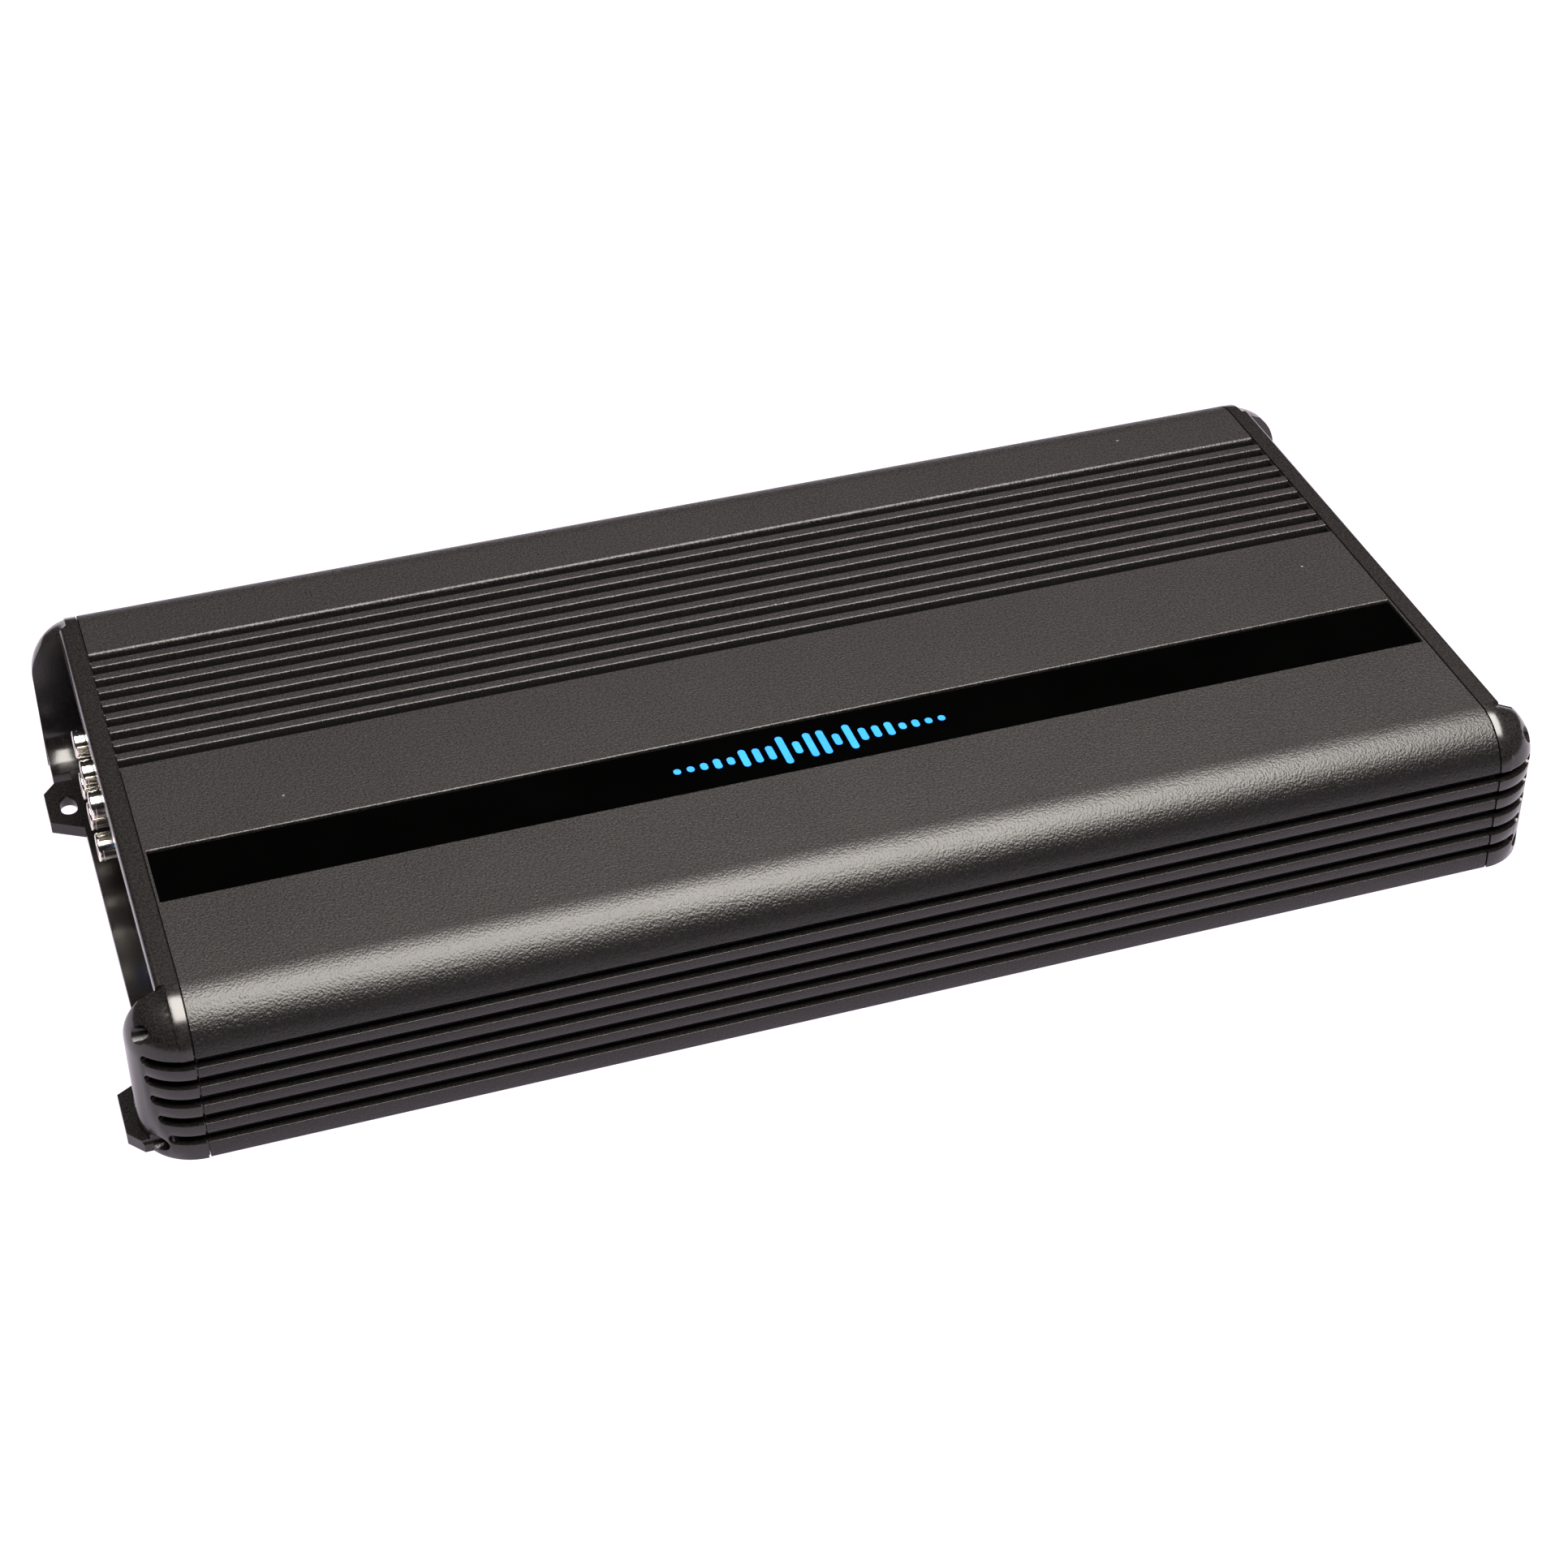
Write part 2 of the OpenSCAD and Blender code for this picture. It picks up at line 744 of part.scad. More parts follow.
// A moulded block with one round wire entry and one screw well for each terminal
module terminal_block(places, pitch_half, z, top, bores, well_r)
    difference() {
        box([half_l - 9, terminal_out], [places[0] - pitch_half, places[len(places) - 1] + pitch_half],
            [board_top, top]);
        for (k = [0:len(places) - 1]) {
            box([half_l - 6, terminal_out - 1], clamp_span(places[k], bores[k]),
                [z - bores[k] - 1.5, top - 4]);
            facing_out(terminal_out - 2, places[k], z) cylinder(h = 4, r = bores[k] + 0.3);
            translate([screw_x, places[k], z]) cylinder(h = 40, r = well_r);
        }
    }

function clamp_span(y, bore) = [y - bore - 1.3, y + bore + 1.3];

// Plated clamps: a block bored along X for the wire and along Z for its set screw
module clamps(places, z, top, bores, tap_r)
    for (k = [0:len(places) - 1])
        difference() {
            box([half_l - 6, terminal_out - 1], clamp_span(places[k], bores[k]),
                [z - bores[k] - 1.5, top - 4]);
            facing_out(half_l - 4, places[k], z) cylinder(h = 30, r = bores[k]);
            translate([screw_x, places[k], z]) cylinder(h = 40, r = min(tap_r, bores[k] * 0.63));
        }

// Hex-socket set screws, backed off to leave the wire entry clear
module set_screws(places, z, top, bores, tap_r)
    for (k = [0:len(places) - 1]) {
        r = min(tap_r, bores[k] * 0.63) - 0.05;
        translate([screw_x, places[k], z + bores[k]])
            difference() {
                cylinder(h = top - 2.5 - z - bores[k], r = r);
                translate([0, 0, top - 4.5 - z - bores[k]]) cylinder(h = 10, r = r * 0.6, $fn = 6);
            }
    }

module power_block()
    color("#141416") terminal_block(power_y, 8.5, power_z, power_top, power_bore, 2.7);

module power_clamps()
    color("#c9c7c0") clamps(power_y, power_z, power_top, power_bore, 2.5);

module power_screws()
    color("#a8aaad") set_screws(power_y, power_z, power_top, power_bore, 2.5);

module speaker_block()
    color("#141416") terminal_block(speaker_y, 4.3, speaker_z, speaker_top, speaker_bores, 1.7);

module speaker_clamps()
    color("#c9c7c0") clamps(speaker_y, speaker_z, speaker_top, speaker_bores, 1.45);

module speaker_screws()
    color("#a8aaad") set_screws(speaker_y, speaker_z, speaker_top, speaker_bores, 1.45);

module fuse_holder()
    color("#1a1a1c")
        difference() {
            box([half_l - 14, half_l + 8], [fuse_y[0] - 6, fuse_y[1] + 6], [board_top, 37]);
            for (y = fuse_y) {
                box([fuse_in - 0.3, half_l + 9], [y - 2.9, y + 2.9], [fuse_z - 9.9, fuse_z + 9.9]);
                for (side = [-1, 1])
                    box([half_l - 12, fuse_in + 1], [y - 1.6, y + 1.6],
                        [fuse_z + side * 4.65 - 3, fuse_z + side * 4.65 + 3]);
            }
        }

// Spring clips on each side of a fuse blade
module fuse_clips()
    color("#c9c7c0")
        for (y = fuse_y, side = [-1, 1], face = [-1, 1])
            box([half_l - 12, half_l + 0.5],
                [y + min(face * 0.5, face * 1.5), y + max(face * 0.5, face * 1.5)],
                [fuse_z + side * 4.65 - 2.6, fuse_z + side * 4.65 + 2.6]);

module fuse_body(y)
    difference() {
        union() {
            box([fuse_in, fuse_out], [y - 1.9, y + 1.9], [fuse_z - 8, fuse_z + 8]);
            box([fuse_out - 5, fuse_out], [y - 2.55, y + 2.55], [fuse_z - 9.55, fuse_z + 9.55]);
        }
        box([fuse_out - 1, fuse_out + 1], [y - 1.2, y + 1.2], [fuse_z - 6, fuse_z + 6]);
    }

module fuse_blades(y)
    for (side = [-1, 1])
        box([half_l - 6, fuse_in], [y - 0.32, y + 0.32],
            [fuse_z + side * 4.65 - 2.5, fuse_z + side * 4.65 + 2.5]);

module left_fuse()
    color("#e07a1e") fuse_body(fuse_y[0]);

module left_fuse_blades()
    color("#c9ccd0") fuse_blades(fuse_y[0]);

module right_fuse()
    color("#e07a1e") fuse_body(fuse_y[1]);

module right_fuse_blades()
    color("#c9ccd0") fuse_blades(fuse_y[1]);

// ---- Inside ----

module ring(inner, outer, height)
    rotate_extrude() square_from([inner, 0], [outer, height]);

// A ring's winding: a round-edged sleeve of wire all round the core
module wound_ring(inner, outer, height, wire)
    rotate_extrude()
        difference() {
            union() {
                square_from([inner - wire, wire], [outer + wire, height + wire]);
                square_from([inner, 0], [outer, height + 2 * wire]);
                for (x = [inner, outer], z = [wire, height + wire])
                    translate([x, z]) circle(wire, $fn = 24);
            }
            square_from([inner, wire], [outer, height + wire]);
        }

module transformer_core()
    color("#3f6f4a") translate([transformer_at[0], transformer_at[1], board_top + 2]) ring(13, 24, 17);

module transformer_winding()
    color("#b4632c") translate([transformer_at[0], transformer_at[1], board_top]) wound_ring(13, 24, 17, 2);

module supply_choke()
    color("#b4632c")
        translate([128, 22, board_top]) {
            wound_ring(6, 13, 12, 1.6);
            translate([0, 0, 1.6]) ring(6, 13, 12);
        }

// A standing electrolytic capacitor with a grooved can
module capacitor(r, height)
    rotate_extrude()
        difference() {
            square([r, height]);
            translate([r + 0.3, 3]) circle(0.8, $fn = 16);
        }

module input_capacitors()
    color("#20242e")
        for (k = [0:3])
            translate([118 + 18 * (k % 2), -34 - 18 * floor(k / 2), board_top]) capacitor(capacitor_r, 25);

module rail_capacitors()
    color("#20242e")
        for (k = [0:3])
            translate([10 + 21 * (k % 2), 14 + 21 * floor(k / 2), board_top]) capacitor(rail_capacitor_r, 28);

module inductor_places()
    for (k = [0:3])
        translate([-40 - 27 * k, 36, board_top]) children();

module output_inductor_cores()
    color("#7a7d45") inductor_places() translate([0, 0, 1.5]) ring(5, 10, 9);

module output_inductor_windings()
    color("#b4632c") inductor_places() wound_ring(5, 10, 9, 1.5);

// Three-leg power transistors on a wall, drawn for the +Y wall
module transistor_row()
    for (x = transistor_x) {
        translate([x, wall_in - 0.5, 0]) {
            box([-5, 5], [-1.3, 0], [12, 27.6]);
            box([-5, 5], [-4.5, -1.3], [12, 21.2]);
            for (leg = [-2.54, 0, 2.54])
                box([leg - 0.4, leg + 0.4], [-3, -2.4], [board_top, 12]);
        }
    }

module back_transistors()
    color("#19191b") transistor_row();

module front_transistors()
    color("#19191b") mirror([0, 1, 0]) transistor_row();

module thermal_pads()
    color("#b9b4a8")
        difference() {
            mirrored_y()
                box([transistor_x[0] - 8, transistor_x[7] + 8], [wall_in - 0.5, wall_in], [11, 28.5]);
            clamp_screw_places() translate([0, 0, -2]) cylinder(h = 4, r = screw_r + 0.1);
        }

module clamp_screw_places()
    for (side = [-1, 1], k = [0:6])
        translate([transistor_x[k] + 16, side * wall_in, 16.5]) rotate([-90 * side, 0, 0]) children();

module clamp_bars()
    color("#9a9da1")
        difference() {
            mirrored_y()
                box([transistor_x[0] - 7, transistor_x[7] + 7], [wall_in - 8, wall_in - 5], [13, 21]);
            clamp_screw_places() translate([0, 0, -12]) cylinder(h = 14, r = screw_r + 0.1);
        }

module clamp_screws()
    color("#b9bcc0")
        clamp_screw_places() translate([0, 0, -8]) mirror([0, 0, 1]) pan_screw(2.8, 2, screw_r - 0.25, 11.5);

module driver_chips()
    color("#19191b")
        for (x = [-150, -130, -110, -90, -70, -50])
            translate([x, -30, board_top + 1]) {
                cube([6, 10, 2], center = true);
                for (side = [-1, 1], k = [0:3])
                    translate([side * 3.6, -3.8 + 2.54 * k, -0.6]) cube([1.4, 0.6, 0.8], center = true);
            }

heatsink();
bottom_plate();
left_end_cap();
right_end_cap();
input_panel();
output_panel();
end_cap_screws();
bottom_screws();
display_strip();
light_guide();
light_board();
light_leds();
main_board();
board_screws();
board_standoffs();
preamp_board();
preamp_connector();
rca_housing();
rca_shells();
rca_insulators();
rca_contacts();
front_level_knob();
rear_level_knob();
front_crossover_knob();
rear_crossover_knob();
bass_boost_knob();
potentiometers();
front_filter_slider();
rear_filter_slider();
input_mode_slider();
switch_bodies();
remote_port();
remote_port_contacts();
power_led();
protect_led();
power_block();
power_clamps();
power_screws();
speaker_block();
speaker_clamps();
speaker_screws();
fuse_holder();
fuse_clips();
left_fuse();
left_fuse_blades();
right_fuse();
right_fuse_blades();
transformer_core();
transformer_winding();
supply_choke();
input_capacitors();
rail_capacitors();
output_inductor_cores();
output_inductor_windings();
front_transistors();
back_transistors();
thermal_pads();
clamp_bars();
clamp_screws();
driver_chips();
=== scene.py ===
"""Looks for the car amplifier: finished surfaces, fine mesh pieces and a studio round the CAD frame."""

import json
import math

import bmesh
import bpy
from mathutils import Matrix, Quaternion, Vector


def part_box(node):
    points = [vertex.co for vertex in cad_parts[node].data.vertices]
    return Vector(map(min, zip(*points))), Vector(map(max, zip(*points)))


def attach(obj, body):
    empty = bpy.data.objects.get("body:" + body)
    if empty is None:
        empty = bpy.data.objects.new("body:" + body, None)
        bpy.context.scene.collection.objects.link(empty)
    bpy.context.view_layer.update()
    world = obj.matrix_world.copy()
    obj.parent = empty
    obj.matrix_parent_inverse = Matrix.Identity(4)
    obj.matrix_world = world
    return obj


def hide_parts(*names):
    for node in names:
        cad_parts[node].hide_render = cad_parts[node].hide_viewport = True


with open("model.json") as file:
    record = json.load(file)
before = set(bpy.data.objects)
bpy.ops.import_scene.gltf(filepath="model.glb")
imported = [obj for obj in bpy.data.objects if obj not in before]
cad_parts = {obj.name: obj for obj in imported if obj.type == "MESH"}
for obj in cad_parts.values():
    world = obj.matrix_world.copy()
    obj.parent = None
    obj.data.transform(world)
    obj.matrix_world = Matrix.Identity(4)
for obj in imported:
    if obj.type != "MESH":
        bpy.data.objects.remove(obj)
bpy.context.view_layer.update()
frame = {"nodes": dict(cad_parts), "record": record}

MM = 0.001

# ---------------------------------------------------------------------------
# Main sizes, in millimetres, as in the CAD source
# ---------------------------------------------------------------------------

heatsink_low, heatsink_high = (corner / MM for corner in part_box("heatsink"))
HALF_L = heatsink_high.x
HALF_W = heatsink_high.y
CASE_H = heatsink_high.z
EDGE_R = 15.5

TOP_GROOVES = 9
TOP_PITCH = 6.64
TOP_GROOVE_W = 3.4
FIRST_GROOVE_Y = HALF_W - 32.1
SIDE_GROOVES = 5
SIDE_PITCH = 6.45
SIDE_GROOVE_H = 3.2
SIDE_TOP = 34.2
GROOVE_D = 3.0
LIP_R = 0.45
FIRST_LIP_R = 1.0
SIDE_LIP_R = 0.2
FLOOR_R = 0.5
RIB_CROWN = 0.2
SEAM_GAP = 0.12

strip_low, strip_high = (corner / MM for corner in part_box("display_strip"))
guide_low, guide_high = (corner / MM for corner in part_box("light_guide"))
STRIP_Y = (strip_low.y + strip_high.y) / 2
WINDOW_HALF_L = guide_high.x + 1
WINDOW_HALF_W = (guide_high.y - guide_low.y) / 2 + 1
CEILING = guide_low.z

PLATE_HALF_W = HALF_W - 7
PLATE_T = 1.5
FOOT_IN = HALF_W - 12.75
FOOT_H = 7.0
CAVITY_R = 4.0

panel_low, panel_high = (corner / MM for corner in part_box("input_panel"))
PANEL_FACE = panel_low.x
KNOBS = (
    "front_level_knob",
    "rear_level_knob",
    "front_crossover_knob",
    "rear_crossover_knob",
    "bass_boost_knob",
)
SLIDERS = ("front_filter_slider", "rear_filter_slider", "input_mode_slider")
JACK_R = 4.15
JACK_BORE_R = 3.0
JACK_FLANGE_R = 5.3
JACK_LIP_R = 0.5
JACK_LIP_IN = 0.3
JACK_FLANGE_T = 0.8
JACK_FLANGE_GAP = 0.1
JACK_NECK_R = 3.5
JACK_RING_D = 0.25
JACK_RING_FROM_TIP = (1.5, 1.4, 1.1, 1.0)
JACK_SIDES = 64
JACK_LIP_STEPS = 12
JACK_SMOOTH_ANGLE = 25

PRINT_T = 0.06
PRINT_W = 0.35
DOT_W = 0.6
DOT_GAP = 1.6
SWITCH_STEP = 2
TICKS = 11
LONG_TICKS = (0, 5, 10)
LONG_TICK = 1.3
SHORT_TICK = 0.8
TICK_GAP = 1.3
KNOB_TURN = 140

ARC_STEPS = 6
RIB_STEPS = 8
SHOULDER_STEPS = 28

BEVEL_SEGMENTS = 2
BEVEL_ANGLE = 40
WELD_DISTANCE = 0.002

# ---------------------------------------------------------------------------
# Outlines
# ---------------------------------------------------------------------------


def rounded(corners):
    """A closed outline with its corners rounded: each corner is (y, z, radius)."""
    outline = []
    count = len(corners)
    for k, (y, z, radius) in enumerate(corners):
        here = Vector((y, z))
        if radius <= 0:
            outline.append(here)
            continue
        before = (Vector(corners[k - 1][:2]) - here).normalized()
        after = (Vector(corners[(k + 1) % count][:2]) - here).normalized()
        half_angle = before.angle(after) / 2
        centre = here + (before + after).normalized() * radius / math.sin(half_angle)
        start = here + before * radius / math.tan(half_angle) - centre
        end = here + after * radius / math.tan(half_angle) - centre
        turn = start.angle_signed(end)
        for step in range(ARC_STEPS + 1):
            spun = start.copy()
            spun.rotate(Matrix.Rotation(-turn * step / ARC_STEPS, 2))
            outline.append(centre + spun)
    return outline


def top_groove_corners(k):
    """Corners of one top groove, from its back lip to its front lip."""
    back = FIRST_GROOVE_Y - k * TOP_PITCH
    front = back - TOP_GROOVE_W
    floor = CASE_H - GROOVE_D
    back_lip = FIRST_LIP_R if k == 0 else LIP_R
    return [
        (back, CASE_H, back_lip),
        (back, floor, FLOOR_R),
        (front, floor, FLOOR_R),
        (front, CASE_H, LIP_R),
    ]


def side_groove_corners(k, side):
    """Corners of one side groove from its lower lip to its floor's upper edge, on side +1 or -1."""
    high = SIDE_TOP - k * SIDE_PITCH
    low = high - SIDE_GROOVE_H
    floor = side * (HALF_W - GROOVE_D)
    return [
        (side * (HALF_W - RIB_CROWN), low, SIDE_LIP_R),
        (floor, low, FLOOR_R),
        (floor, high, FLOOR_R),
    ]


def rib_corners(low, high, side):
    """The crowned face of the rib between two side grooves, from its lower edge up."""
    corners = [(side * (HALF_W - RIB_CROWN), low, SIDE_LIP_R)]
    for step in range(1, RIB_STEPS):
        across = 2 * step / RIB_STEPS - 1
        height = low + (high - low) * step / RIB_STEPS
        corners.append((side * (HALF_W - RIB_CROWN * across ** 2), height, 0))
    return corners


def shoulder_corners(side):
    """The big rounding from the uppermost side groove up to the top."""
    start = math.asin((SIDE_TOP - CASE_H + EDGE_R) / EDGE_R)
    corners = []
    for step in range(SHOULDER_STEPS + 1):
        angle = start + (math.pi / 2 - start) * step / SHOULDER_STEPS
        y = HALF_W - EDGE_R + EDGE_R * math.cos(angle)
        corners.append((side * y, CASE_H - EDGE_R + EDGE_R * math.sin(angle), 0 if step else SIDE_LIP_R))
    return corners


def side_corners(side):
    """One outer side of the heatsink from the bottom up."""
    corners = []
    low = 0
    for k in reversed(range(SIDE_GROOVES)):
        high = SIDE_TOP - k * SIDE_PITCH - SIDE_GROOVE_H
        corners += rib_corners(low, high, side) + side_groove_corners(k, side)
        low = high + SIDE_GROOVE_H
    return corners + shoulder_corners(side)


# ---------------------------------------------------------------------------
# Mesh helpers
# ---------------------------------------------------------------------------


def new_piece(name, mesh, body="amplifier"):
    """A piece of the object that rides on a body."""
    piece = bpy.data.objects.new(name, mesh)
    bpy.context.scene.collection.objects.link(piece)
    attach(piece, body)
    return piece


def finish_mesh(name, bm, smooth_angle=35):
    """A mesh in metres from a bmesh drawn in millimetres, smooth up to that angle."""
    bmesh.ops.recalc_face_normals(bm, faces=bm.faces)
    bm.transform(Matrix.Scale(MM, 4))
    mesh = bpy.data.meshes.new(name)
    bm.to_mesh(mesh)
    bm.free()
    mesh.shade_smooth()
    mesh.set_sharp_from_angle(angle=math.radians(smooth_angle))
    return mesh


def heatsink_mesh():
    """The extrusion: one outline swept along X, with the display pocket and the light window."""
    before_pocket = side_corners(1)
    for k in range(TOP_GROOVES):
        before_pocket += top_groove_corners(k)
    pocket = [
        (strip_high.y, CASE_H, LIP_R),
        (strip_high.y, strip_low.z, 0),
        (STRIP_Y + WINDOW_HALF_W, strip_low.z, 0),
        (STRIP_Y - WINDOW_HALF_W, strip_low.z, 0),
        (strip_low.y, strip_low.z, 0),
        (strip_low.y, CASE_H, LIP_R),
    ]
    after_pocket = side_corners(-1)[::-1]
    inside = [
        (-PLATE_HALF_W, 0, 0),
        (-PLATE_HALF_W, PLATE_T, 0),
        (-FOOT_IN, PLATE_T, 0),
        (-FOOT_IN, FOOT_H, 0),
        (-PLATE_HALF_W, FOOT_H, 0),
        (-PLATE_HALF_W, CEILING, CAVITY_R),
        (STRIP_Y - WINDOW_HALF_W, CEILING, 0),
        (STRIP_Y + WINDOW_HALF_W, CEILING, 0),
        (PLATE_HALF_W, CEILING, CAVITY_R),
        (PLATE_HALF_W, FOOT_H, 0),
        (FOOT_IN, FOOT_H, 0),
        (FOOT_IN, PLATE_T, 0),
        (PLATE_HALF_W, PLATE_T, 0),
        (PLATE_HALF_W, 0, 0),
    ]
    outline = rounded(before_pocket + pocket + after_pocket + inside)

    def find(y, z):
        """The number of the outline's point nearest to that place."""
        return min(range(len(outline)), key=lambda k: (outline[k] - Vector((y, z))).length)

    pocket_start = find(strip_high.y + LIP_R, CASE_H)
    pocket_end = find(strip_low.y - LIP_R, CASE_H)
    floor_edge = find(STRIP_Y + WINDOW_HALF_W, strip_low.z)
    ceiling_edge = find(STRIP_Y - WINDOW_HALF_W, CEILING)
    count = len(outline)

    bm = bmesh.new()
    end = HALF_L - SEAM_GAP
    stations = [-end, strip_low.x, -WINDOW_HALF_L, WINDOW_HALF_L, strip_high.x, end]
    rings = []
    for number, x in enumerate(stations):
        at_end = number in (0, len(stations) - 1)
        ring = []
        for k, point in enumerate(outline):
            in_pocket = pocket_start < k < pocket_end
            ring.append(None if at_end and in_pocket else bm.verts.new((x, point.x, point.y)))
        rings.append(ring)
    middle = 2
    for number in range(len(stations) - 1):
        ring, following = rings[number], rings[number + 1]
        at_end = number in (0, len(stations) - 2)
        for k in range(count):
            beyond = (k + 1) % count
            if at_end and pocket_start <= k < pocket_end:
                continue
            if number == middle and k in (floor_edge, ceiling_edge):
                continue
            bm.faces.new((ring[k], ring[beyond], following[beyond], following[k]))
        if at_end:
            bm.faces.new((ring[pocket_start], ring[pocket_end],
                          following[pocket_end], following[pocket_start]))
    for ring in (rings[1], rings[-2]):
        bm.faces.new(ring[pocket_start:pocket_end + 1])
    for ring in (rings[0], rings[-1]):
        bm.faces.new([vert for vert in ring if vert])
    low_x, high_x = rings[middle], rings[middle + 1]
    window = (floor_edge, floor_edge + 1, ceiling_edge, ceiling_edge + 1)
    for a, b in ((window[0], window[3]), (window[1], window[2])):
        bm.faces.new((low_x[a], low_x[b], high_x[b], high_x[a]))
    for ring in (low_x, high_x):
        bm.faces.new([ring[k] for k in window])
    return finish_mesh("heatsink_case", bm)


# ---------------------------------------------------------------------------
# Materials
# ---------------------------------------------------------------------------

# The Mix node has a set of sockets for each data type. These are the ones for colours.
MIX_FACTOR = 0
MIX_FIRST = 6
MIX_SECOND = 7
MIX_RESULT = 2

MOTTLE = 0.12
COAT_MOTTLE = 0.65
COARSE_GRAIN_DEPTH = 0.25
SPECK_SPACING = 4
SPECK_SHARE = 0.06

def new_surface(name, roughness, metallic=0.0, **sockets):
    """A material and its shader, with the sockets that are the same all over set on the shader."""
    material = bpy.data.materials.new(name)
    material.use_nodes = True
    shader = material.node_tree.nodes["Principled BSDF"]
    shader.inputs["Roughness"].default_value = roughness
    shader.inputs["Metallic"].default_value = metallic
    for socket, value in sockets.items():
        shader.inputs[socket.replace("_", " ")].default_value = value
    return material, shader


def place(material, stretch=(1, 1, 1)):
    """The object's own coordinates in metres, scaled along each axis."""
    tree = material.node_tree
    coordinates = tree.nodes.new("ShaderNodeTexCoord")
    mapping = tree.nodes.new("ShaderNodeMapping")
    mapping.inputs["Scale"].default_value = stretch
    tree.links.new(coordinates.outputs["Object"], mapping.inputs["Vector"])
    return mapping.outputs["Vector"]


def noise(material, size, detail):
    """Noise with features of about that size in millimetres."""
    tree = material.node_tree
    node = tree.nodes.new("ShaderNodeTexNoise")
    node.inputs["Scale"].default_value = 1 / (size * MM)
    node.inputs["Detail"].default_value = detail
    tree.links.new(place(material), node.inputs["Vector"])
    return node.outputs["Fac"]


def ramp(material, factor, stops):
    """Colours along a factor: stops are (position, colour)."""
    tree = material.node_tree
    node = tree.nodes.new("ShaderNodeValToRGB")
    while len(node.color_ramp.elements) < len(stops):
        node.color_ramp.elements.new(0.5)
    for element, (position, colour) in zip(node.color_ramp.elements, stops):
        element.position = position
        element.color = (*colour, 1)
    tree.links.new(factor, node.inputs["Fac"])
    return node.outputs["Color"]


def multiply(material, first, second):
    """One colour multiplied by another."""
    tree = material.node_tree
    mix = tree.nodes.new("ShaderNodeMix")
    mix.data_type = "RGBA"
    mix.blend_type = "MULTIPLY"
    mix.inputs[MIX_FACTOR].default_value = 1
    tree.links.new(first, mix.inputs[MIX_FIRST])
    tree.links.new(second, mix.inputs[MIX_SECOND])
    return mix.outputs[MIX_RESULT]


def vary_colour(material, shader, factor, dark, light, low=0.35, high=0.65):
    """Base colour from dark to light as the factor goes from low to high."""
    colour = ramp(material, factor, [(low, dark), (high, light)])
    material.node_tree.links.new(colour, shader.inputs["Base Color"])


def vary_roughness(material, shader, factor, low, high):
    """Roughness from low to high along the factor's usual spread."""
    tree = material.node_tree
    node = tree.nodes.new("ShaderNodeMapRange")
    node.inputs["From Min"].default_value = 0.3
    node.inputs["From Max"].default_value = 0.7
    node.inputs["To Min"].default_value = low
    node.inputs["To Max"].default_value = high
    tree.links.new(factor, node.inputs["Value"])
    tree.links.new(node.outputs["Result"], shader.inputs["Roughness"])


def add_bump(material, shader, height, depth, under=None):
    """Bump of that depth in millimetres, over an earlier bump if one is given."""
    tree = material.node_tree
    node = tree.nodes.new("ShaderNodeBump")
    node.inputs["Strength"].default_value = 1.0
    node.inputs["Distance"].default_value = depth * MM
    tree.links.new(height, node.inputs["Height"])
    if under:
        tree.links.new(under, node.inputs["Normal"])
    tree.links.new(node.outputs["Normal"], shader.inputs["Normal"])
    return node.outputs["Normal"]


def lighter(colour, factor):
    """A colour multiplied by a number: over 1 makes it lighter and under 1 darker."""
    return tuple(min(1.0, channel * factor) for channel in colour)


def grained(name, colour, roughness, grain, depth, metallic=0.0, **sockets):
    """The common finish: a grain in the bump, and slow patches in the colour and roughness."""
    material, shader = new_surface(name, roughness, metallic, **sockets)
    patches = noise(material, 18, 3)
    vary_colour(material, shader, patches, lighter(colour, 1 - MOTTLE), lighter(colour, 1 + MOTTLE))
    vary_roughness(material, shader, noise(material, 7, 4), roughness * 0.9, roughness * 1.1)
    add_bump(material, shader, noise(material, grain, 2), depth)
    return material


def speck_mask(material, spacing, share):
    """Rare round specks: about that share of the cells of that spacing in millimetres gets one."""
    tree = material.node_tree
    black, white = (0, 0, 0), (1, 1, 1)
    cells = tree.nodes.new("ShaderNodeTexVoronoi")
    cells.inputs["Scale"].default_value = 1 / (spacing * MM)
    tree.links.new(place(material), cells.inputs["Vector"])
    chosen = ramp(material, cells.outputs["Color"], [(1 - share, black), (1 - share * 0.98, white)])
    near = ramp(material, cells.outputs["Distance"], [(0.05, white), (0.12, black)])
    return multiply(material, chosen, near)


def painted_shade_by_height(material, colour, bands):
    """Painted shade: the paint darkened by height, where bands are (height in millimetres, share of the
    full colour).
    """
    tree = material.node_tree
    split = tree.nodes.new("ShaderNodeSeparateXYZ")
    tree.links.new(place(material, (0, 0, 1 / (CASE_H * MM))), split.inputs["Vector"])
    stops = [(height / CASE_H, (share,) * 3) for height, share in bands]
    return multiply(material, colour, ramp(material, split.outputs["Z"], stops))


